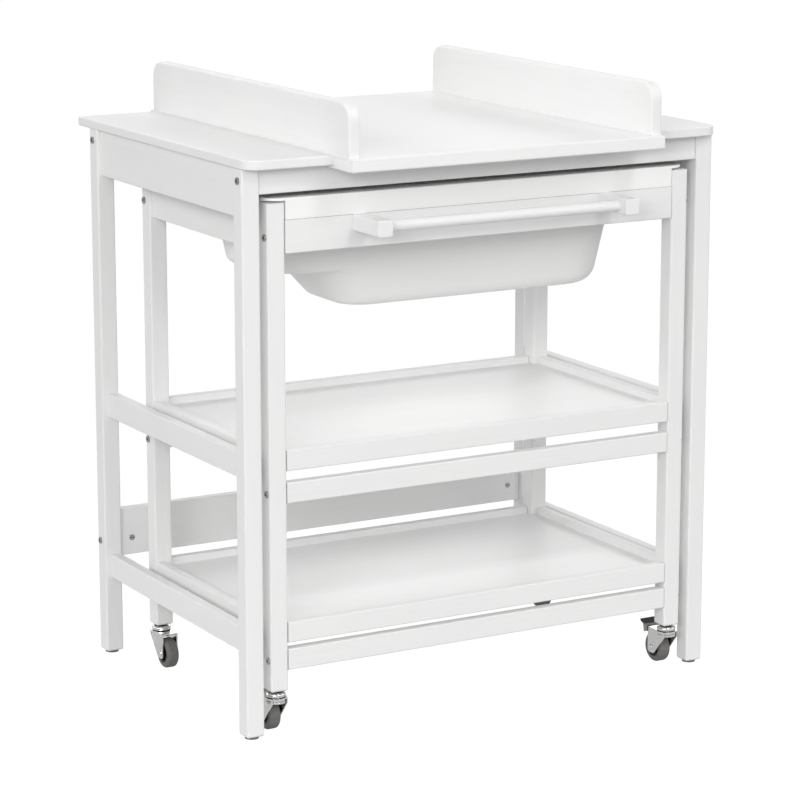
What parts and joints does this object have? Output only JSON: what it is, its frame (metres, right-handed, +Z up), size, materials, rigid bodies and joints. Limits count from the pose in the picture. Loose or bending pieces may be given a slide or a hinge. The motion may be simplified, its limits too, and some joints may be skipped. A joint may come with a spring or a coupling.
{
  "type": "changing table with bathtub",
  "caption": "White wooden baby changing table whose bath and tray trolley rolls out on casters from under the top.",
  "frame": {"origin": "on the floor under the middle of the whole object's box", "axes": "+X to the right as seen from the front, +Y to the back, +Z up; the trolley rolls out along -Y"},
  "size_m": [0.854, 0.708, 0.988],
  "materials": {
    "white_wood": "white satin lacquer on beech",
    "white_panel": "white satin lacquer on fibreboard",
    "bath_plastic": "white moulded plastic",
    "plug_plastic": "soft white stopper",
    "dark_plastic": "black moulded",
    "bolt_steel": "zinc plated",
    "nut_steel": "zinc plated",
    "chrome": "bright pressed steel",
    "grey_tyre": "dark grey tread"
  },
  "bodies": {
    "table": {"leg_front_left": "white_wood", "leg_front_right": "white_wood", "leg_back_left": "white_wood", "leg_back_right": "white_wood", "side_apron_left": "white_wood", "side_apron_right": "white_wood", "mid_rail_left": "white_wood", "mid_rail_right": "white_wood", "low_rail_left": "white_wood", "low_rail_right": "white_wood", "front_apron": "white_wood", "back_apron": "white_wood", "back_low_rail": "white_wood", "side_shelf_left": "white_wood", "side_shelf_right": "white_wood", "changing_board": "white_panel", "wall_left": "white_wood", "wall_right": "white_wood", "glides": "dark_plastic", "table_bolts": "bolt_steel", "table_nuts": "nut_steel"},
    "trolley": {"post_front_left": "white_wood", "post_front_right": "white_wood", "post_back_left": "white_wood", "post_back_right": "white_wood", "trolley_side_left": "white_wood", "trolley_side_right": "white_wood", "front_rail_top": "white_wood", "front_rail_mid": "white_wood", "front_rail_low": "white_wood", "back_rail_top": "white_wood", "back_rail_mid": "white_wood", "back_rail_low": "white_wood", "bath": "bath_plastic", "drain_fitting": "bath_plastic", "mid_panel": "white_panel", "mid_lips": "white_wood", "low_panel": "white_panel", "low_lips": "white_wood", "towel_bar": "white_wood", "towel_brackets": "white_wood", "trolley_bolts": "bolt_steel", "trolley_nuts": "nut_steel", "caster_collars": "dark_plastic", "caster_stems": "chrome"},
    "plug": {"drain_plug": "plug_plastic"},
    "swivel_front_left": {"fork_front_left": "chrome"},
    "wheel_front_left": {"hub_front_left": "dark_plastic", "tyre_front_left": "grey_tyre"},
    "brake_front_left": {"brake_front_left": "dark_plastic"},
    "swivel_front_right": {"fork_front_right": "chrome"},
    "wheel_front_right": {"hub_front_right": "dark_plastic", "tyre_front_right": "grey_tyre"},
    "brake_front_right": {"brake_front_right": "dark_plastic"},
    "swivel_back_left": {"fork_back_left": "chrome"},
    "wheel_back_left": {"hub_back_left": "dark_plastic", "tyre_back_left": "grey_tyre"},
    "swivel_back_right": {"fork_back_right": "chrome"},
    "wheel_back_right": {"hub_back_right": "dark_plastic", "tyre_back_right": "grey_tyre"}
  },
  "joints": [
    {"name": "trolley_slide", "type": "slide", "parent": "table", "child": "trolley", "axis": [0, -1, 0], "range_m": [0, 0.5]},
    {"name": "plug_lift", "type": "slide", "parent": "trolley", "child": "plug", "axis": [0, 0, 1], "range_m": [0, 0.04]},
    {"name": "swivel_front_left", "type": "hinge", "parent": "trolley", "child": "swivel_front_left", "pos_m": [-0.366, -0.257, 0.055], "axis": [0, 0, 1], "range_deg": [-205, 25]},
    {"name": "wheel_front_left", "type": "hinge", "parent": "swivel_front_left", "child": "wheel_front_left", "pos_m": [-0.366, -0.233, 0.025], "axis": [1, 0, 0], "continuous": true},
    {"name": "brake_front_left", "type": "hinge", "parent": "swivel_front_left", "child": "brake_front_left", "pos_m": [-0.366, -0.2285, 0.053], "axis": [-1, 0, 0], "range_deg": [0, 11]},
    {"name": "swivel_front_right", "type": "hinge", "parent": "trolley", "child": "swivel_front_right", "pos_m": [0.366, -0.257, 0.055], "axis": [0, 0, 1], "range_deg": [-25, 205]},
    {"name": "wheel_front_right", "type": "hinge", "parent": "swivel_front_right", "child": "wheel_front_right", "pos_m": [0.366, -0.233, 0.025], "axis": [1, 0, 0], "continuous": true},
    {"name": "brake_front_right", "type": "hinge", "parent": "swivel_front_right", "child": "brake_front_right", "pos_m": [0.366, -0.2285, 0.053], "axis": [-1, 0, 0], "range_deg": [0, 11]},
    {"name": "swivel_back_left", "type": "hinge", "parent": "trolley", "child": "swivel_back_left", "pos_m": [-0.366, 0.161, 0.055], "axis": [0, 0, 1], "continuous": true},
    {"name": "wheel_back_left", "type": "hinge", "parent": "swivel_back_left", "child": "wheel_back_left", "pos_m": [-0.366, 0.137, 0.025], "axis": [1, 0, 0], "continuous": true},
    {"name": "swivel_back_right", "type": "hinge", "parent": "trolley", "child": "swivel_back_right", "pos_m": [0.366, 0.161, 0.055], "axis": [0, 0, 1], "continuous": true},
    {"name": "wheel_back_right", "type": "hinge", "parent": "swivel_back_right", "child": "wheel_back_right", "pos_m": [0.366, 0.137, 0.025], "axis": [1, 0, 0], "continuous": true}
  ]
}
